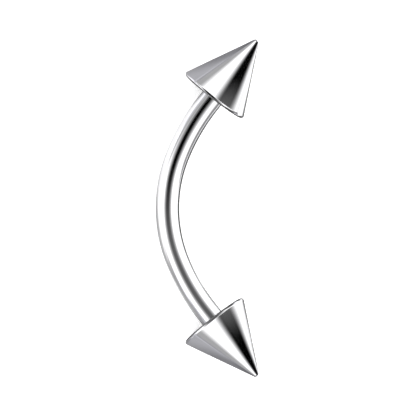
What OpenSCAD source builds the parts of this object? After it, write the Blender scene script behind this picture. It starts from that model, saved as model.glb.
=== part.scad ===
// A curved eyebrow barbell: a bent round bar with a cone screwed onto each end. It lies by itself on a flat
// surface, on the middle of the bar's bow and on the rims of both cones. Lengths are in millimetres and
// angles in degrees. The origin is on the surface, in the middle of the barbell's box, with +Z up, +Y towards
// the upper cone and +X towards the side that the tips lean to.

/* [Bar] */
// Diameter of the bar
bar_d = 1.29; // [1.1:0.01:1.4]
// Length of the barbell, straight across between the middles of the cones' bases
seat_span = 12.24; // [8:0.01:16]
// Turn of the bow from its middle to where it eases
mid_bend = 21.5; // [12:0.5:30]
// Turn of the bow from its middle to its end
end_bend = 38.2; // [34:0.1:60]
// Bend radius of the eased stretches, as a multiple of the middle's
ease = 1.45; // [1:0.01:2]
// Straight stretch of the bar below each cone's base
neck_len = 0.6; // [0.3:0.05:1.5]

/* [Thread] */
// Diameter of the stud that a cone screws onto
stud_d = 1.06; // [0.9:0.01:1.08]
// Length of the stud, past the bar's shoulder
stud_len = 1.9; // [1.2:0.05:2.1]
// Chamfer on the end of the stud
stud_chamfer = 0.12; // [0.02:0.01:0.2]
// Clearance round the stud, on the radius
thread_gap = 0.03; // [0.01:0.005:0.06]
// Clearance between the bar's shoulder and the cone's countersink
seat_gap = 0.02; // [0.01:0.005:0.03]

/* [Cones] */
// Diameter of a cone, over its rounded rim
cone_d = 4; // [3.6:0.05:5]
// Height of a cone, from its base to its rounded tip
cone_h = 3.96; // [3.6:0.02:6]
// Rounding of the rim
rim_r = 0.14; // [0.05:0.01:0.3]
// Rounding of the tip
tip_r = 0.19; // [0.1:0.01:0.4]
// Diameter of the countersink at the mouth of the bore
mouth_d = 1.6; // [1.5:0.01:2]
// Depth of the bore past the end of the stud
bore_spare = 0.2; // [0.1:0.05:0.4]
// Angle of the drill's point at the bottom of the bore
drill_angle = 118; // [90:1:140]

/* [Hidden] */
$fn = 96;
steel = [0.80, 0.80, 0.82];

// Each stretch of the bar starts lap inside the one before it, and its radius is less by hair, so that the
// stretches join in a clean circle.
lap = 0.05;
hair = 0.002;
// How far inside its two roundings a cone's straight side runs, so that it crosses them cleanly.
tuck = 0.00005;
// How far a cutting shape runs past the face that it cuts.
past = 1;

bar_r = bar_d / 2;
eased_r = bar_r - hair;
neck_r = eased_r - hair;
stud_r = stud_d / 2;
bore_r = stud_r + thread_gap;
mouth_r = mouth_d / 2;

// The bow lies in one plane. Its points are [across, along]: across from the middle of the bar towards the
// side that the tips lean to, and along towards the upper cone. The seat is the middle of a cone's base.
bend_r = (seat_span / 2 - neck_len * cos(end_bend)) / (sin(mid_bend) + ease * (sin(end_bend) - sin(mid_bend)));
ease_r = ease * bend_r;
ease_centre = (ease_r - bend_r) * [cos(mid_bend), -sin(mid_bend)] + [bend_r, 0];
lap_turn = lap / ease_r * 180 / PI;
end_way = [sin(end_bend), cos(end_bend)];
seat = ease_centre + ease_r * [-cos(end_bend), sin(end_bend)] + neck_len * end_way;

// Heights along a cone's axis, up from its base. The bar's shoulder and the cone's countersink are both cut
// at 45 degrees, and lie seat_gap apart.
shoulder_cut = mouth_r - seat_gap * sqrt(2);
shoulder_from = shoulder_cut - neck_r;
shoulder_to = shoulder_cut - stud_r;
stud_to = shoulder_to + stud_len;
bore_from = mouth_r - bore_r;
bore_to = stud_to + bore_spare;
drill_to = bore_to + bore_r / tan(drill_angle / 2);

// The cone's straight side touches both roundings. Points are [radius, height].
rim_centre = [cone_d / 2 - rim_r, rim_r];
tip_centre = [0, cone_h - tip_r];
rim_to_tip = tip_centre - rim_centre;
side_turn = atan2(rim_to_tip.y, rim_to_tip.x) - acos((rim_r - tip_r) / norm(rim_to_tip));
side_normal = [cos(side_turn), sin(side_turn)];

// As the barbell lies, the plane of its bow rises from the middle of the bar to the cones. It leans by the
// angle at which the rims come as low as the bar does.
rim_across = seat.x + rim_centre.y * end_way.x;
function rims_above_bar(lean) =
    rim_across * sin(lean) + bar_r - rim_r - rim_centre.x * sqrt(1 - pow(end_way.x * sin(lean), 2));
function lean_between(low, high, halvings) =
    halvings == 0 ? (low + high) / 2 :
    rims_above_bar((low + high) / 2) < 0 ? lean_between((low + high) / 2, high, halvings - 1) :
    lean_between(low, (low + high) / 2, halvings - 1);
lean = lean_between(0, 80, 40);

// The barbell's box runs from the bar's outer side to whichever of the tip and the rim reaches further.
tip_reach = (seat.x + tip_centre.y * end_way.x) * cos(lean) + tip_r;
rim_reach = rim_across * cos(lean) + rim_centre.x * sqrt(1 - pow(end_way.x * cos(lean), 2)) + rim_r;
box_middle = (max(tip_reach, rim_reach) - bar_r) / 2;

// Lays what is drawn in the bow's plane on the surface.
module laid_down() {
    translate([-box_middle, 0, bar_r]) rotate([0, -lean, 0]) children();
}

// Stands what is drawn upwards from the origin on the upper seat, along the cone's axis.
module on_upper_seat() {
    translate([seat.x, seat.y, 0]) rotate([-90, 0, -end_bend]) children();
}

// A stretch of the bow between two turns, which are counted from its middle.
module bow_stretch(centre, radius, from, to, r) {
    translate([centre.x, centre.y, 0])
        rotate_extrude(start = 180 - to, angle = to - from) translate([radius, 0]) circle(r = r);
}

// The upper half's eased stretch, its straight neck, the shoulder and the stud.
module upper_end() {
    bow_stretch(ease_centre, ease_r, mid_bend - lap_turn, end_bend, eased_r);
    on_upper_seat() rotate_extrude() polygon([
        [0, -neck_len - lap],
        [neck_r, -neck_len - lap],
        [neck_r, shoulder_from],
        [stud_r, shoulder_to],
        [stud_r, stud_to - stud_chamfer],
        [stud_r - stud_chamfer, stud_to],
        [0, stud_to],
    ]);
}

// Half of the cone's section, with its rounded rim and tip.
module cone_section() {
    intersection() {
        union() {
            polygon([
                [0, 0],
                [rim_centre.x, 0],
                rim_centre,
                rim_centre + (rim_r - tuck) * side_normal,
                tip_centre + (tip_r - tuck) * side_normal,
                tip_centre,
            ]);
            translate(rim_centre) circle(r = rim_r);
            translate(tip_centre) circle(r = tip_r);
        }
        square([cone_d, cone_h + past]);
    }
}

// Half of the bore's section, with its countersink and the point that the drill leaves.
module bore_section() {
    polygon([
        [0, -past],
        [mouth_r + past, -past],
        [bore_r, bore_from],
        [bore_r, bore_to],
        [0, drill_to],
    ]);
}

module cone() {
    difference() {
        rotate_extrude() cone_section();
        rotate_extrude() bore_section();
    }
}

module bar() {
    color(steel) laid_down() union() {
        bow_stretch([bend_r, 0], bend_r, -mid_bend, mid_bend, bar_r);
        upper_end();
        mirror([0, 1, 0]) upper_end();
    }
}

module upper_cone() {
    color(steel) laid_down() on_upper_seat() cone();
}

module lower_cone() {
    color(steel) laid_down() mirror([0, 1, 0]) on_upper_seat() cone();
}

bar();
upper_cone();
lower_cone();
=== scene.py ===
"""The looks of a curved eyebrow barbell: a bent, mirror-polished steel bar with a threaded stud on each
end, and the two turned steel cones that screw onto the studs. Lengths are in millimetres, as in the
part's own source, until a finished piece is put in its place in metres, and angles are written in
degrees."""
import math

import bmesh
import bpy
from mathutils import Matrix, Vector


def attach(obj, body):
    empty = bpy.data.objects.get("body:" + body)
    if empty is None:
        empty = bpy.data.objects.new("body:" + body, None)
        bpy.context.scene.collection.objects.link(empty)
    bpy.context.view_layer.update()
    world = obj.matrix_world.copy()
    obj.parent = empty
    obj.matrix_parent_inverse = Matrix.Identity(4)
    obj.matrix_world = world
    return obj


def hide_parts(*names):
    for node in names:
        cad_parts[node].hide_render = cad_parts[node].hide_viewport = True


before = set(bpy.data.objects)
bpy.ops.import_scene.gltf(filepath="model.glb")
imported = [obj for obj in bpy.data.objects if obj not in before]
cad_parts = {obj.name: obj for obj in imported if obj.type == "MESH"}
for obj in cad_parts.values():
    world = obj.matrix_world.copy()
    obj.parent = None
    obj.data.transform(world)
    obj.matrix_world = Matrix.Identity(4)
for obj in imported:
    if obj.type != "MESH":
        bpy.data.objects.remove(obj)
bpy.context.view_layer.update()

MM = 0.001

# The bar and its bow, as the part's source has them
BAR_R = 0.645
SEAT_SPAN = 12.24
MID_BEND = math.radians(21.5)
END_BEND = math.radians(38.2)
EASE = 1.45
NECK_LEN = 0.6

# The studs and the cones' bores
STUD_R = 0.53
STUD_LEN = 1.9
STUD_CHAMFER = 0.12
BORE_R = 0.56
BORE_SPARE = 0.2
MOUTH_R = 0.8
SEAT_GAP = 0.02
DRILL_ANGLE = math.radians(118)

# The thread, which the part's source leaves out. The flat at its deepest place and the stretch of its
# flank are shares of half a pitch.
THREAD_PITCH = 0.25
THREAD_FLAT = 0.15
THREAD_FLANK = 0.65
STUD_THREAD_DEPTH = 0.11
BORE_THREAD_DEPTH = 0.06

# The cones
CONE_R = 2.0
CONE_H = 3.96
RIM_R = 0.14
TIP_R = 0.19

# How it lies: the bow's plane leans, and the box's middle is this far from the middle of the bar
LEAN = math.radians(29.0609)
BOX_MIDDLE = 1.8955

# Worked out from those, as the part's source does
BEND_R = (SEAT_SPAN / 2 - NECK_LEN * math.cos(END_BEND)) / (
    math.sin(MID_BEND) + EASE * (math.sin(END_BEND) - math.sin(MID_BEND)))
EASE_R = EASE * BEND_R
BEND_CENTRE = Vector((BEND_R, 0, 0))
EASE_CENTRE = BEND_CENTRE + (EASE_R - BEND_R) * Vector((math.cos(MID_BEND), -math.sin(MID_BEND), 0))
NECK_WAY = Vector((math.sin(END_BEND), math.cos(END_BEND), 0))
SEAT = EASE_CENTRE + EASE_R * Vector((-math.cos(END_BEND), math.sin(END_BEND), 0)) + NECK_LEN * NECK_WAY
SHOULDER_CUT = MOUTH_R - SEAT_GAP * math.sqrt(2)
STUD_FROM = SHOULDER_CUT - STUD_R
STUD_TO = STUD_FROM + STUD_LEN
BORE_FROM = MOUTH_R - BORE_R
BORE_TO = STUD_TO + BORE_SPARE
DRILL_TO = BORE_TO + BORE_R / math.tan(DRILL_ANGLE / 2)

BAR_MIDDLE = Vector((-BOX_MIDDLE, 0, BAR_R))
LAID_DOWN = Matrix.Translation(BAR_MIDDLE) @ Matrix.Rotation(-LEAN, 4, "Y")
ON_UPPER_SEAT = (Matrix.Translation(SEAT) @ Matrix.Rotation(-END_BEND, 4, "Z")
                 @ Matrix.Rotation(-math.pi / 2, 4, "X"))
HALF_TURN = Matrix.Rotation(math.pi, 4, "X")
IN_METRES = Matrix.Scale(MM, 4)

# The fineness of the meshes: steps round each rounding, and rows in each pitch of the thread
ROUND_STEPS = 96
MIDDLE_STEPS = 30
EASED_STEPS = 34
TIP_STEPS = 12
RIM_STEPS = 14
THREAD_ROWS = 14
# The rows down a cone's side, as how far down each stretch ends and its steps. They lie closer at both
# ends, which keeps the side straight in the shading.
SIDE_ROWS = ((0.01, 1), (0.05, 1), (0.95, 24), (0.99, 1), (1, 1))
# The small break on a sharp edge, and a narrow row that keeps the base flat up to the rim
EDGE_BREAK = 0.015
BASE_ROW = 0.04
# Points nearer than these are one: inside a shape, and where two shapes join
SAME_POINT = 1e-5
SAME_SEAM = 1e-4
# How near a point or a face has to be to count as on a wall
ON_WALL = 1e-3
BY_WALL = 0.01


class Section:
    """Half of a turned shape's section, drawn point by point in [radius, height] and then turned round
    the Z axis."""

    def __init__(self, radius, height):
        self.mesh = bmesh.new()
        self.last = self.mesh.verts.new((radius, 0, height))

    def line(self, radius, height, steps=1):
        """A straight stretch to a point, in equal steps."""
        step = (Vector((radius, 0, height)) - self.last.co) / steps
        for _ in range(steps):
            grown = bmesh.ops.extrude_vert_indiv(self.mesh, verts=[self.last])
            grown["verts"][0].co = self.last.co + step
            self.last = grown["verts"][0]

    def arc(self, centre, turn, steps):
        """A rounding about a centre, through a turn that counts from the radius towards the height."""
        spun = bmesh.ops.spin(self.mesh, geom=[self.last], cent=(centre[0], 0, centre[1]), axis=(0, -1, 0),
                              angle=turn, steps=steps)
        self.last = [item for item in spun["geom_last"] if isinstance(item, bmesh.types.BMVert)][0]

    def turned(self):
        """The turned shape. The section starts along the +X side."""
        mesh = self.mesh
        bmesh.ops.remove_doubles(mesh, verts=mesh.verts[:], dist=SAME_POINT)
        bmesh.ops.spin(mesh, geom=mesh.verts[:] + mesh.edges[:], cent=(0, 0, 0), axis=(0, 0, 1),
                       angle=2 * math.pi, steps=ROUND_STEPS, use_merge=True)
        bmesh.ops.remove_doubles(mesh, verts=mesh.verts[:], dist=SAME_POINT)
        return mesh


def cut_thread(mesh, radius, depth, bottom, top, run_out):
    """Cuts a right-handed thread into the wall of the given radius: depth is counted outwards, and it
    fades away over run_out at both ends."""
    for vert in mesh.verts:
        around = Vector((vert.co.x, vert.co.y))
        if abs(around.length - radius) > ON_WALL or not bottom < vert.co.z < top:
            continue
        turn = math.atan2(vert.co.y, vert.co.x) / (2 * math.pi)
        place = (vert.co.z / THREAD_PITCH - turn) % 1
        flank = min(max((abs(place - 0.5) * 2 - THREAD_FLAT) / THREAD_FLANK, 0), 1)
        fade = min((vert.co.z - bottom) / run_out, (top - vert.co.z) / run_out, 1)
        wall = radius + depth * (1 - flank) * fade
        around *= wall / around.length
        vert.co.x = around.x
        vert.co.y = around.y


def finished(name, mesh, place, finishes):
    """A closed mesh, put in its place in metres, as a smooth-shaded piece with its finishes."""
    bmesh.ops.remove_doubles(mesh, verts=mesh.verts[:], dist=2 * SAME_POINT)
    bmesh.ops.recalc_face_normals(mesh, faces=mesh.faces[:])
    bmesh.ops.transform(mesh, matrix=IN_METRES @ LAID_DOWN @ place, verts=mesh.verts[:])
    for face in mesh.faces:
        face.smooth = True
    data = bpy.data.meshes.new(name)
    mesh.to_mesh(data)
    mesh.free()
    for finish in finishes:
        data.materials.append(finish)
    piece = bpy.data.objects.new(name, data)
    bpy.context.scene.collection.objects.link(piece)
    return piece


def stud_end():
    """The straight neck, the shoulder and the threaded stud, standing on the cone's seat."""
    shoulder_edge = SHOULDER_CUT - BAR_R
    section = Section(BAR_R, -NECK_LEN)
    section.line(BAR_R, shoulder_edge - 3 * EDGE_BREAK, steps=6)
    section.line(BAR_R, shoulder_edge - EDGE_BREAK)
    section.line(BAR_R - EDGE_BREAK / 2, shoulder_edge + EDGE_BREAK / 2)
    section.line(STUD_R, STUD_FROM, steps=2)
    section.line(STUD_R, STUD_TO - STUD_CHAMFER, steps=round(STUD_LEN / THREAD_PITCH * THREAD_ROWS))
    section.line(STUD_R - STUD_CHAMFER, STUD_TO, steps=2)
    section.line(0, STUD_TO, steps=2)
    mesh = section.turned()
    cut_thread(mesh, STUD_R, -STUD_THREAD_DEPTH, STUD_FROM, STUD_TO - STUD_CHAMFER / 2, THREAD_PITCH / 2)
    for face in mesh.faces:
        if face.calc_center_median().z > STUD_FROM:
            face.material_index = 1
    return mesh


def bow_half():
    """The bar from the middle of its bow to the upper neck."""
    mesh = bmesh.new()
    ring = bmesh.ops.create_circle(mesh, segments=ROUND_STEPS, radius=BAR_R,
                                   matrix=Matrix.Rotation(math.pi / 2, 4, "X"))
    spun = bmesh.ops.spin(mesh, geom=ring["verts"] + mesh.edges[:], cent=BEND_CENTRE, axis=(0, 0, -1),
                          angle=MID_BEND, steps=MIDDLE_STEPS)
    bmesh.ops.spin(mesh, geom=spun["geom_last"], cent=EASE_CENTRE, axis=(0, 0, -1),
                   angle=END_BEND - MID_BEND, steps=EASED_STEPS)
    return mesh


def joined(*meshes):
    """The meshes as one."""
    whole = bmesh.new()
    for mesh in meshes:
        carrier = bpy.data.meshes.new("carrier")
        mesh.to_mesh(carrier)
        mesh.free()
        whole.from_mesh(carrier)
        bpy.data.meshes.remove(carrier)
    bmesh.ops.remove_doubles(whole, verts=whole.verts[:], dist=SAME_SEAM)
    return whole


def bar_mesh():
    """The whole bar in the bow's plane. Its lower half is the upper one turned over, so both threads are
    right-handed."""
    end = stud_end()
    bmesh.ops.transform(end, matrix=ON_UPPER_SEAT, verts=end.verts[:])
    upper = joined(bow_half(), end)
    lower = upper.copy()
    bmesh.ops.transform(lower, matrix=HALF_TURN, verts=lower.verts[:])
    return joined(upper, lower)


def cone_mesh():
    """A cone, standing on its base: tip, side, rim, base ring, countersink, tapped bore and the drill's
    point."""
    rim = Vector((CONE_R - RIM_R, RIM_R))
    tip = Vector((0, CONE_H - TIP_R))
    rise = tip - rim
    side_turn = math.atan2(rise.y, rise.x) - math.acos((RIM_R - TIP_R) / rise.length)
    side = Vector((math.cos(side_turn), math.sin(side_turn)))
    tip_end = tip + TIP_R * side
    rim_start = rim + RIM_R * side
    section = Section(0, CONE_H)
    section.arc(tip, side_turn - math.pi / 2, TIP_STEPS)
    for share, steps in SIDE_ROWS:
        point = tip_end.lerp(rim_start, share)
        section.line(point.x, point.y, steps)
    section.arc(rim, -math.pi / 2 - side_turn, RIM_STEPS)
    section.line(rim.x - BASE_ROW, 0)
    section.line(MOUTH_R + 3 * EDGE_BREAK, 0, steps=6)
    section.line(MOUTH_R + EDGE_BREAK, 0)
    section.line(MOUTH_R - EDGE_BREAK, EDGE_BREAK)
    section.line(BORE_R, BORE_FROM, steps=3)
    section.line(BORE_R, BORE_TO, steps=round((BORE_TO - BORE_FROM) / THREAD_PITCH * THREAD_ROWS))
    section.line(0, DRILL_TO, steps=4)
    mesh = section.turned()
    cut_thread(mesh, BORE_R, BORE_THREAD_DEPTH, BORE_FROM, BORE_TO, THREAD_PITCH / 2)
    for face in mesh.faces:
        middle = face.calc_center_median()
        in_bore = math.hypot(middle.x, middle.y) < BORE_R + BORE_THREAD_DEPTH + BY_WALL
        if in_bore and BORE_FROM / 2 < middle.z < DRILL_TO + BY_WALL:
            face.material_index = 1
    return mesh


class Nodes:
    """A shorthand for building a node tree."""

    def __init__(self, tree):
        self.tree = tree
        self.tree.nodes.clear()

    def add(self, kind, inputs=(), **settings):
        """A node with its settings, and its inputs given as a value or as another node's output."""
        node = self.tree.nodes.new(kind)
        for name, value in settings.items():
            setattr(node, name, value)
        for socket, value in dict(inputs).items():
            if isinstance(value, bpy.types.NodeSocket):
                self.tree.links.new(value, node.inputs[socket])
            else:
                node.inputs[socket].default_value = value
        return node

    def math(self, operation, *values):
        """The result of a math node."""
        return self.add("ShaderNodeMath", dict(enumerate(values)), operation=operation).outputs[0]

    def vector(self, operation, *values):
        """The result of a vector math node: a number for a length or a dot product, or else a vector."""
        node = self.add("ShaderNodeVectorMath", dict(enumerate(values)), operation=operation)
        return node.outputs["Value" if operation in ("LENGTH", "DOT_PRODUCT") else "Vector"]

    def ramp(self, value, low, high, bottom, top, smooth=True):
        """A value that runs from bottom to top while the input runs from low to high."""
        node = self.add("ShaderNodeMapRange", {"Value": value, "From Min": low, "From Max": high,
                                               "To Min": bottom, "To Max": top})
        node.interpolation_type = "SMOOTHSTEP" if smooth else "LINEAR"
        return node.outputs["Result"]

    def blend(self, share, first, second):
        """A colour mixed from two. A colour mix has its share in socket 0 and its colours in 6 and 7."""
        return self.add("ShaderNodeMix", {0: share, 6: first, 7: second}, data_type="RGBA").outputs[2]


def new_material(name):
    """An empty material and its nodes."""
    material = bpy.data.materials.new(name)
    material.use_nodes = True
    return material, Nodes(material.node_tree)


# The steel's two greys, how far its roughness varies, and the stretch of the clouds that each runs over
STEEL_DULL = (0.595, 0.595, 0.607, 1)
STEEL_CLEAR = (0.625, 0.624, 0.632, 1)
TONE_CLOUDS = (0.25, 0.75)
POLISH_VARIES = 0.3
POLISH_CLOUDS = (0.3, 0.7)
# Its patterns, per metre: turning marks round the axis, clouds, and hairlines, which lie along the axis
MARKS_SCALE = 42000.0
CLOUD_SCALE = 900.0
HAIR_SCALE = 2600.0
HAIR_STRETCH = (9.0, 9.0, 0.6)
# The stretch of its pattern in which a hairline shows, how much of the polish's roughness it adds, and
# how deep it is against the turning marks
HAIR_SHOWS = (0.62, 0.8)
HAIR_ROUGH = 0.8
HAIR_DEPTH = 0.15
BUMP_STRENGTH = 0.12
BUMP_DEPTH = 0.004 * MM
# How rough polished steel and a cut thread are, and how deep the marks are on drawn and on turned steel
ROUGH_POLISHED = 0.05
ROUGH_CUT = 0.24
MARKS_DRAWN = 0.3
MARKS_TURNED = 1.0


def steel(name, turn, turning, roughness):
    """Polished steel. turn sets the axis that the fine turning marks run round, and turning is how deep
    they are."""
    material, nodes = new_material(name)
    place = nodes.add("ShaderNodeTexCoord").outputs["Object"]
    along = nodes.add("ShaderNodeMapping", {"Vector": place, "Rotation": turn}).outputs[0]
    height = nodes.add("ShaderNodeSeparateXYZ", {"Vector": along}).outputs["Z"]
    marks = nodes.add("ShaderNodeTexNoise", {"W": height, "Scale": MARKS_SCALE, "Detail": 3.0,
                                             "Roughness": 0.65}, noise_dimensions="1D").outputs["Fac"]
    cloud = nodes.add("ShaderNodeTexNoise", {"Vector": place, "Scale": CLOUD_SCALE, "Detail": 4.0,
                                             "Roughness": 0.6}).outputs["Fac"]
    hairs = nodes.add("ShaderNodeMapping", {"Vector": along, "Scale": HAIR_STRETCH}).outputs[0]
    scratches = nodes.add("ShaderNodeTexNoise", {"Vector": hairs, "Scale": HAIR_SCALE,
                                                 "Detail": 2.0}).outputs["Fac"]
    polish = nodes.ramp(cloud, *POLISH_CLOUDS, roughness * (1 - POLISH_VARIES),
                        roughness * (1 + POLISH_VARIES))
    rough = nodes.math("ADD", polish, nodes.ramp(scratches, *HAIR_SHOWS, 0.0, roughness * HAIR_ROUGH))
    relief = nodes.math("ADD", nodes.math("MULTIPLY", marks, turning),
                        nodes.math("MULTIPLY", scratches, HAIR_DEPTH))
    bump = nodes.add("ShaderNodeBump", {"Height": relief, "Strength": BUMP_STRENGTH,
                                        "Distance": BUMP_DEPTH}).outputs[0]
    colour = nodes.blend(nodes.ramp(cloud, *TONE_CLOUDS, 0.0, 1.0), STEEL_DULL, STEEL_CLEAR)
    shader = nodes.add("ShaderNodeBsdfPrincipled", {"Base Color": colour, "Metallic": 1.0,
                                                    "Roughness": rough, "Normal": bump})
    nodes.add("ShaderNodeOutputMaterial", {"Surface": shader.outputs[0]})
    return material


def show(piece, body, node):
    """Says what the piece rides on and which node it stands for."""
    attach(piece, body)
    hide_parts(node)


bar_steel = steel("bar_steel", (0, LEAN, 0), MARKS_DRAWN, ROUGH_POLISHED)
thread_steel = steel("thread_steel", (0, 0, 0), MARKS_TURNED, ROUGH_CUT)

bar = finished("bar_polished", bar_mesh(), Matrix.Identity(4), [bar_steel, thread_steel])
show(bar, "bar", "bar")
for cone, seat in (("upper_cone", ON_UPPER_SEAT), ("lower_cone", HALF_TURN @ ON_UPPER_SEAT)):
    upright = (LAID_DOWN @ seat).inverted().to_euler("XYZ")
    cone_steel = steel(cone + "_steel", tuple(upright), MARKS_TURNED, ROUGH_POLISHED)
    turned_cone = finished(cone + "_turned", cone_mesh(), seat, [cone_steel, thread_steel])
    show(turned_cone, cone, cone)

# The camera looks down at the bow, 22 degrees off upright. It aims at a place this far to the right of
# the middle of the bar and above it, as the picture shows them.
CAMERA_LEAN = math.radians(21.96)
CAMERA_BACK = Vector((-math.sin(CAMERA_LEAN), 0, math.cos(CAMERA_LEAN)))
CAMERA_RIGHT = Vector((CAMERA_BACK.z, 0, -CAMERA_BACK.x))
CAMERA_UP = Vector((0, 1, 0))
AIM_RIGHT = 2.2214
AIM_ABOVE = 0.0082
FRAME_HALF_WIDTH = 11.43
LENS = 1000.0
SENSOR = 36.0


def photographer():
    """The camera, far off with a long lens, so that the barbell shows almost without perspective."""
    data = bpy.data.cameras.new("camera")
    data.lens = LENS
    data.sensor_width = SENSOR
    distance = FRAME_HALF_WIDTH * LENS / (SENSOR / 2)
    data.clip_start = 0.01
    data.clip_end = 10
    camera = bpy.data.objects.new("camera", data)
    bpy.context.scene.collection.objects.link(camera)
    aim = BAR_MIDDLE + AIM_RIGHT * CAMERA_RIGHT + AIM_ABOVE * CAMERA_UP
    place = Matrix((CAMERA_RIGHT, CAMERA_UP, CAMERA_BACK)).transposed().to_4x4()
    place.translation = (aim + CAMERA_BACK * distance) * MM
    camera.matrix_world = place
    bpy.context.scene.camera = camera


def staged(name, mesh, place):
    """A part of the stage, from a mesh in metres."""
    data = bpy.data.meshes.new(name)
    mesh.to_mesh(data)
    mesh.free()
    sheet = bpy.data.objects.new(name, data)
    sheet.matrix_world = place
    bpy.context.scene.collection.objects.link(sheet)
    return sheet


def flat_sheet(name, half_width, half_length, place):
    """A flat sheet of the stage."""
    mesh = bmesh.new()
    bmesh.ops.create_grid(mesh, x_segments=1, y_segments=1, size=1)
    bmesh.ops.scale(mesh, vec=(half_width * MM, half_length * MM, 1), verts=mesh.verts[:])
    return staged(name, mesh, place)


FLOOR_REACH = 900
FLOOR_DOWN = 0.005
# How light the floor is to the camera: its fibre per metre, the stretch of it that the diffuse white runs
# over, that white's range, and the glow that lifts it
FIBRE_SCALE = 500.0
FIBRE_SHOWS = (0.3, 0.7)
FLOOR_WHITE = (0.9, 0.92)
FLOOR_LIFT = 0.35
# How light the steel mirrors it, as a painted reflection that only glossy rays see, the places along the
# bow, both ways, between which that turns bluer, and how blue it is then
MIRRORED_WHITE = 0.98
BLUER_ALONG = (6, 10)
BLUER = 1.05
# What the steel mirrors of the floor: oval patches of painted shade under and around the barbell, greyer
# than the rest, as centre, reach, softness as a share of the reach, and how much of the light each takes
# away
MIRRORED_SHADE_PATCHES = (
    ((3.0, 1.0), (5.2, 3.6), 0.3, 0.9),
    ((-2.7, -2.0), (0.8, 2.7), 0.4, 0.5),
    ((-4.6, -6.9), (3.3, 3.6), 0.3, 0.62),
    ((3.0, -4.2), (1.4, 1.1), 0.4, 0.85),
    ((4.5, 6.5), (2.2, 2.8), 0.3, 0.82),
    ((4.5, -6.5), (2.2, 2.8), 0.3, 0.78),
    ((5.6, 8.5), (2.1, 1.1), 0.3, 0.85),
    ((5.6, -8.5), (2.1, 1.1), 0.3, 0.85),
    ((7.6, 7.9), (2.2, 1.2), 0.3, 0.6),
    ((7.6, -7.9), (2.2, 1.2), 0.3, 0.5),
)
# And wedges of painted shade, as a corner, the two ways that its sides run in degrees, softness in
# millimetres, and how much of the light each takes away. The two wide ones beyond the tips add painted
# light, with shares below 0.
MIRRORED_SHADE_WEDGES = (
    ((0.0, 5.3), (60, 131), 0.8, 0.62),
    ((0.0, -5.3), (-130, -60), 0.8, 0.64),
    ((0.6, 3.0), (60, 100), 1.4, 0.46),
    ((0.6, -3.0), (-100, -60), 1.4, 0.46),
    ((3.6, 6.5), (80, 113), 0.8, 0.35),
    ((3.6, -6.5), (-113, -80), 0.8, 0.35),
    ((0.0, 24.0), (10, 170), 6.0, -0.3),
    ((0.0, -24.0), (-170, -10), 6.0, -0.3),
    ((-8.0, 8.5), (120, 158), 1.5, 0.5),
    ((8.0, -5.0), (-60, -22), 2.0, 0.75),
    ((-4.5, -8.0), (-158, -118), 1.0, 0.5),
)


def patch(nodes, place, centre, reach, soft):
    """1 inside an oval patch on the floor and 0 outside it. Its edge fades over the soft share of its
    reach, both ways."""
    offset = nodes.vector("SUBTRACT", place, (centre[0] * MM, centre[1] * MM, 0))
    scaled = nodes.vector("MULTIPLY", offset, (1 / (reach[0] * MM), 1 / (reach[1] * MM), 0))
    return nodes.ramp(nodes.vector("LENGTH", scaled), 1 - soft, 1 + soft, 1.0, 0.0)


def wedge(nodes, place, corner, ways, soft):
    """1 between two straight sides that run from a corner of the floor, and 0 outside them."""
    offset = nodes.vector("SUBTRACT", place, (corner[0] * MM, corner[1] * MM, 0))
    insides = []
    for way, turn in zip(ways, (90, -90)):
        square = math.radians(way + turn)
        depth = nodes.vector("DOT_PRODUCT", offset, (math.cos(square), math.sin(square), 0))
        insides.append(nodes.ramp(depth, -soft * MM, soft * MM, 0.0, 1.0))
    return nodes.math("MULTIPLY", *insides)


def floor():
    """The pale surface that the barbell lies on. The steel mirrors it as a sheet with greyer patches of
    painted shade, and two of painted light, which the camera doesn't see.
    """
    sheet = flat_sheet("floor", FLOOR_REACH, FLOOR_REACH, Matrix.Translation((0, 0, -FLOOR_DOWN * MM)))
    material, nodes = new_material("floor_card")
    place = nodes.add("ShaderNodeTexCoord").outputs["Object"]
    painted_shades = [(patch(nodes, place, *shape), share) for *shape, share in MIRRORED_SHADE_PATCHES]
    painted_shades += [(wedge(nodes, place, *shape), share) for *shape, share in MIRRORED_SHADE_WEDGES]
    mirrored = MIRRORED_WHITE
    for shape, share in painted_shades:
        left = nodes.math("SUBTRACT", 1.0, nodes.math("MULTIPLY", shape, share))
        mirrored = nodes.math("MULTIPLY", mirrored, left)
    lengthwise = nodes.add("ShaderNodeSeparateXYZ", {"Vector": place}).outputs["Y"]
    bluer = nodes.ramp(nodes.math("ABSOLUTE", lengthwise), *(far * MM for far in BLUER_ALONG), 1.0, BLUER)
    blue = nodes.math("MULTIPLY", mirrored, bluer)
    grey = nodes.add("ShaderNodeCombineColor", {"Red": mirrored, "Green": mirrored, "Blue": blue})
    fibre = nodes.add("ShaderNodeTexNoise", {"Vector": place, "Scale": FIBRE_SCALE, "Detail": 3.0})
    card = nodes.ramp(fibre.outputs["Fac"], *FIBRE_SHOWS, *FLOOR_WHITE)
    # Glossy rays see the painted shade and light of the patches; other rays see the pale card
    path = nodes.add("ShaderNodeLightPath").outputs
    tone = nodes.blend(path["Is Glossy Ray"], card, grey.outputs[0])
    diffuse = nodes.add("ShaderNodeBsdfDiffuse", {"Color": tone}).outputs[0]
    lift = nodes.math("MULTIPLY", path["Is Camera Ray"], FLOOR_LIFT)
    glow = nodes.add("ShaderNodeEmission", {"Strength": lift}).outputs[0]
    both = nodes.add("ShaderNodeAddShader", {0: diffuse, 1: glow}).outputs[0]
    nodes.add("ShaderNodeOutputMaterial", {"Surface": both})
    sheet.data.materials.append(material)


TENT_LIGHT = 2.1
# Greyer places in the tent of light: the way to each, the two angles off it between which the grey fades
# in degrees, and the share of the light that is left in its middle
TENT_PATCHES = (
    ((-0.88, 0.46, 0.10), 8, 20, 0.35),
    ((-0.80, 0.36, 0.48), 5, 18, 0.38),
    ((0.79, -0.61, 0.05), 14, 32, 0.20),
    ((0.96, -0.28, 0.03), 3, 12, 0.4),
    ((0.32, 0.88, 0.34), 10, 25, 0.15),
    ((0.32, -0.88, 0.34), 10, 25, 0.15),
)
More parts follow.
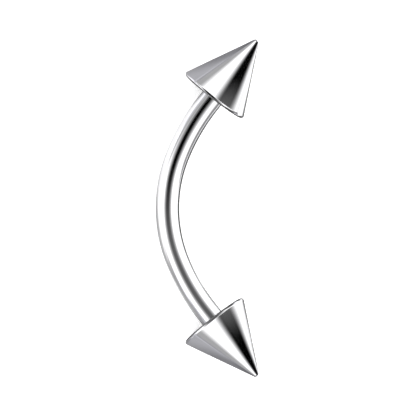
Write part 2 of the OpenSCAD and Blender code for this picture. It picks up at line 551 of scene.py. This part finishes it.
# The low wall beyond each cone. It is full up to the first elevation, in degrees, and gone at the second.
# Its sides start where the Y part of the way there has the first value, and are full at the second.
# WALL_LIGHT is the share of the light that is left on it.
WALL_TOP = (12, 34)
WALL_SIDES = (0.66, 0.84)
WALL_LIGHT = 0.30


def sky():
    """A soft white tent of light. Beyond each cone stands a low grey wall."""
    world = bpy.data.worlds.new("tent")
    world.use_nodes = True
    nodes = Nodes(world.node_tree)
    way = nodes.add("ShaderNodeTexCoord").outputs["Generated"]
    light = TENT_LIGHT
    for axis, inner, outer, level in TENT_PATCHES:
        near = nodes.vector("DOT_PRODUCT", way, tuple(Vector(axis).normalized()))
        edges = (math.cos(math.radians(outer)), math.cos(math.radians(inner)))
        light = nodes.math("MULTIPLY", light, nodes.ramp(near, *edges, 1.0, level))
    axes = nodes.add("ShaderNodeSeparateXYZ", {"Vector": way}).outputs
    beyond = nodes.ramp(nodes.math("ABSOLUTE", axes["Y"]), *WALL_SIDES, 0.0, 1 - WALL_LIGHT)
    below = nodes.ramp(axes["Z"], *(math.sin(math.radians(top)) for top in WALL_TOP), 1.0, 0.0)
    wall = nodes.math("SUBTRACT", 1.0, nodes.math("MULTIPLY", beyond, below))
    light = nodes.math("MULTIPLY", light, wall)
    glow = nodes.add("ShaderNodeBackground", {"Color": (1, 1, 1, 1), "Strength": light})
    nodes.add("ShaderNodeOutputWorld", {"Surface": glow.outputs[0]})
    bpy.context.scene.world = world


def mirrored_only(sheet, shade):
    """Makes a staged sheet a dark card that shows in the polished steel alone, as a painted dark
    reflection with a faint painted glow. shade gives how much it hides and how bright it is, from places
    on it, across and lengthwise, in millimetres."""
    sheet.visible_camera = False
    sheet.visible_diffuse = False
    sheet.visible_shadow = False
    sheet.visible_transmission = False
    sheet.visible_volume_scatter = False
    material, nodes = new_material(sheet.name)
    place = nodes.add("ShaderNodeTexCoord").outputs["Object"]
    scaled = nodes.vector("MULTIPLY", place, (1 / MM, 1 / MM, 1 / MM))
    axes = nodes.add("ShaderNodeSeparateXYZ", {"Vector": scaled}).outputs
    cover, glow = shade(nodes, axes["X"], axes["Y"])
    clear = nodes.add("ShaderNodeBsdfTransparent").outputs[0]
    card = nodes.add("ShaderNodeEmission", {"Strength": glow}).outputs[0]
    mix = nodes.add("ShaderNodeMixShader", {0: cover, 1: clear, 2: card}).outputs[0]
    nodes.add("ShaderNodeOutputMaterial", {"Surface": mix})
    sheet.data.materials.append(material)


def dark_card(name, centre, facing, along, half_sizes, shade):
    """A flat dark card that faces a place and lies along a way, shown only as a painted dark reflection.
    """
    back = (facing - centre).normalized()
    length = (along - back * back.dot(along)).normalized()
    place = Matrix((length.cross(back), length, back)).transposed().to_4x4()
    place.translation = centre * MM
    mirrored_only(flat_sheet(name, *half_sizes, place), shade)


# The strip over the bar, which paints a dark reflection band on it, follows a circle. A place on its card
# is counted from the circle's middle, as a
# turn in degrees and a distance outwards. Each ramp has the two turns and then the two values there.
STRIP_AWAY = 5.0
STRIP_CARD = (12, 12)
STRIP_ROUND = 7.66
# How far its middle line lies inside the circle, how far it reaches to each side of that line, how dark
# it is there, how it ends, and how grey it is
STRIP_DRIFT = (3, 45, 0.0, -1.42)
STRIP_OUTER = (10, 36, 3.75, 3.4)
STRIP_INNER = (-44, 0, 5.3, 4.0)
STRIP_INNER_MORE = (4, 33, 0.0, 0.9)
STRIP_CORE = 1.04
STRIP_ENDS = (52, 60, 1.0, 0.0)
STRIP_GLOW = (-16, 18, 0.17, 0.0)


def bar_strip(nodes, across, lengthwise):
    """A strip that follows the bow and paints a dark reflection on the bar, black over the upper half of
    the bar and grey over the lower half. It fades out to both sides, and ends over the cones."""
    from_middle = nodes.math("ADD", across, STRIP_ROUND)
    turn = nodes.math("DEGREES", nodes.math("ARCTAN2", lengthwise, from_middle))
    place = nodes.add("ShaderNodeCombineXYZ", {"X": from_middle, "Y": lengthwise}).outputs[0]
    inside = nodes.math("SUBTRACT", STRIP_ROUND, nodes.vector("LENGTH", place))
    off = nodes.math("SUBTRACT", inside, nodes.ramp(turn, *STRIP_DRIFT, smooth=False))
    outer = nodes.ramp(turn, *STRIP_OUTER)
    inner = nodes.math("ADD", nodes.ramp(turn, *STRIP_INNER, smooth=False),
                       nodes.ramp(turn, *STRIP_INNER_MORE))
    inward = nodes.math("GREATER_THAN", off, 0.0)
    width = nodes.add("ShaderNodeMix", {0: inward, 2: outer, 3: inner}).outputs[0]
    share = nodes.math("DIVIDE", off, width)
    fade = nodes.math("SUBTRACT", STRIP_CORE, nodes.math("MULTIPLY", share, share))
    ends = nodes.ramp(nodes.math("ABSOLUTE", turn), *STRIP_ENDS)
    cover = nodes.math("MULTIPLY", nodes.add("ShaderNodeClamp", {"Value": fade}).outputs[0], ends)
    return cover, nodes.ramp(turn, *STRIP_GLOW)


# The strip over the upper cone's side, which paints a dark reflection stripe on it: the place on the cone
# that its card faces, the way from there to the card, and the way that the strip runs. Its mirror image
# stands over the lower cone.
CONE_STRIP_ON = Vector((1.258, 7.284, 3.453))
CONE_STRIP_OFF = Vector((0.665, 0.13, 0.73))
CONE_STRIP_ALONG = Vector((0.518, 0.841, -0.153))
CONE_STRIP_AWAY = 4.0
CONE_STRIP_CARD = (7, 4.2)
# How far its middle line runs towards the bow's inner side for each millimetre towards the tip, and how
# far that line lies to the outer side at the card's middle
CONE_STRIP_SLANT = 0.2
CONE_STRIP_SHIFT = 0.6
# Its ramps: across it on the outer and the inner side, how much further the inner side reaches by the
# place along it, and how grey it is there
CONE_STRIP_OUTER = (-4.6, -1.05, 0.0, 1.0)
CONE_STRIP_INNER = (1.3, 5.2, 1.0, 0.0)
CONE_STRIP_MORE = (-1.5, 1.5, 0.6, -0.1)
CONE_STRIP_GLOW = (-2.2, 0.0, 0.17, 0.0)


def cone_strip(handed):
    """A dark strip that paints a dark reflection on the side of one cone. It draws in a little towards the
    tip, and turns grey towards the base. handed is 1 over the lower cone, where across counts towards the
    bow's inner side, and -1 over the upper cone, where it counts away from it."""
    def shade(nodes, across, lengthwise):
        line = nodes.math("SUBTRACT", nodes.math("MULTIPLY", lengthwise, CONE_STRIP_SLANT),
                          CONE_STRIP_SHIFT)
        off = nodes.math("SUBTRACT", nodes.math("MULTIPLY", across, handed), line)
        inner = nodes.math("SUBTRACT", off, nodes.ramp(lengthwise, *CONE_STRIP_MORE))
        cover = nodes.math("MULTIPLY", nodes.ramp(off, *CONE_STRIP_OUTER),
                           nodes.ramp(inner, *CONE_STRIP_INNER))
        return cover, nodes.ramp(lengthwise, *CONE_STRIP_GLOW)
    return shade


# A ring round the bar below each cone's base, which paints a dark reflection line along the cone's rim. It
# slopes as the rays do that the bar mirrors there, so that the bar itself doesn't show it.
RING_AWAY = 0.06
RING_IN = 1.4
RING_OUT = 3.0
RING_SLOPE = 0.0766
RING_STEPS = 64
# Its ramps by the distance from the bar's axis, the way in which it is a little paler, and the ramp for
# that by the cosine of the angle off that way
RING_FROM = (1.4, 1.6, 0.0, 1.0)
RING_TO = (2.0, 2.5, 1.0, 0.0)
RING_PALE_WAY = (0.37, 0.93)
RING_PALE = (0.88, 0.98, 1.0, 0.85)
RING_GLOW = 0.12


def ring_sheet(name, seat, axis):
    """The sloping ring of the stage below a cone's seat."""
    mesh = bmesh.new()
    bmesh.ops.create_cone(mesh, segments=RING_STEPS, radius1=RING_OUT, radius2=RING_IN,
                          depth=(RING_OUT - RING_IN) * RING_SLOPE)
    bmesh.ops.scale(mesh, vec=(MM, MM, MM), verts=mesh.verts[:])
    place = axis.to_track_quat("Z", "Y").to_matrix().to_4x4()
    place.translation = (seat - axis * (RING_AWAY + (RING_OUT + RING_IN) / 2 * RING_SLOPE)) * MM
    return staged(name, mesh, place)


def base_ring(handed):
    """A dark ring, which the cone's rounded rim mirrors as a painted dark line. handed is 1 on the upper
    cone and -1 on the lower one."""
    def shade(nodes, across, lengthwise):
        flat = nodes.add("ShaderNodeCombineXYZ", {"X": across, "Y": lengthwise}).outputs[0]
        out = nodes.vector("LENGTH", flat)
        towards = nodes.vector("DOT_PRODUCT", flat, (RING_PALE_WAY[0] * handed, RING_PALE_WAY[1], 0))
        cover = nodes.math("MULTIPLY", nodes.ramp(out, *RING_FROM), nodes.ramp(out, *RING_TO))
        paler = nodes.ramp(nodes.math("DIVIDE", towards, out), *RING_PALE)
        return nodes.math("MULTIPLY", cover, paler), RING_GLOW
    return shade


def dark_cards():
    """The dark strips over the bar and over both cones, and the ring below each cone's base, all painted
    dark reflections in the steel.
    """
    over_bar = BAR_MIDDLE + CAMERA_BACK * STRIP_AWAY
    dark_card("strip_over_bar", over_bar, BAR_MIDDLE, CAMERA_UP, STRIP_CARD, bar_strip)
    upper_seat = LAID_DOWN @ ON_UPPER_SEAT
    for end, side in (("upper", 1), ("lower", -1)):
        to_end = Matrix.Diagonal((1, side, 1))
        on_side = to_end @ CONE_STRIP_ON
        off_side = to_end @ CONE_STRIP_OFF * CONE_STRIP_AWAY
        dark_card("strip_over_" + end + "_cone", on_side + off_side, on_side, to_end @ CONE_STRIP_ALONG,
                  CONE_STRIP_CARD, cone_strip(-side))
        ring = ring_sheet("ring_under_" + end + "_cone", to_end @ upper_seat.translation,
                          to_end @ upper_seat.col[2].xyz)
        mirrored_only(ring, base_ring(side))


photographer()
floor()
sky()
dark_cards()

bpy.context.scene.view_settings.view_transform = "Standard"
